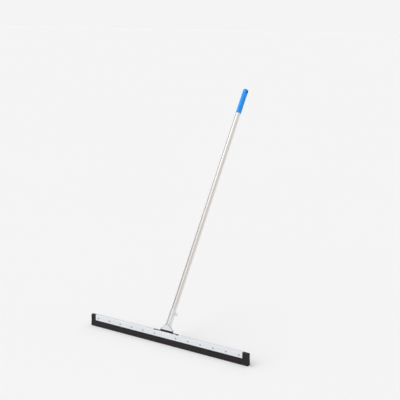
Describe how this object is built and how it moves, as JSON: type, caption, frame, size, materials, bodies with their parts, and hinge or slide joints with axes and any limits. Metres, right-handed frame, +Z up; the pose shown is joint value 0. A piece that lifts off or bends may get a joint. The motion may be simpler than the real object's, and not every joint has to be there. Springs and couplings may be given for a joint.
{
  "type": "floor squeegee",
  "caption": "Floor squeegee with a long straight foam blade in a riveted steel rail, and a leaning tubular handle with a blue grip held in a flared socket by a wing screw.",
  "frame": {"origin": "middle of the blade's foot on the floor, between the two lips", "axes": "+X along the blade, +Y back to the side that the handle leans to, +Z up"},
  "size_m": [0.9, 0.7638, 1.1428],
  "materials": {
    "galvanised_steel": "satin galvanised sheet",
    "zinc_steel": "bright zinc plate",
    "foam_rubber": "matt closed-cell foam",
    "bare_aluminium": "drawn satin tube",
    "blue_plastic": "smooth moulded sleeve"
  },
  "bodies": {
    "head": {"rail": "galvanised_steel", "front_strip": "foam_rubber", "rear_strip": "foam_rubber", "strip_rivets": "zinc_steel", "socket": "zinc_steel", "socket_rivets": "zinc_steel", "screw_nut": "zinc_steel"},
    "screw": {"wing_screw": "zinc_steel"},
    "handle": {"handle_tube": "bare_aluminium", "handle_grip": "blue_plastic"}
  },
  "joints": [
    {"name": "screw_turn", "type": "hinge", "parent": "head", "child": "screw", "pos_m": [0.025, 0.05524, 0.13487], "axis": [1, 0, 0], "range_deg": [0, 720]},
    {"name": "handle_pull", "type": "slide", "parent": "head", "child": "handle", "axis": [0, 0.5664, 0.8241], "range_m": [0, 0.08]}
  ]
}
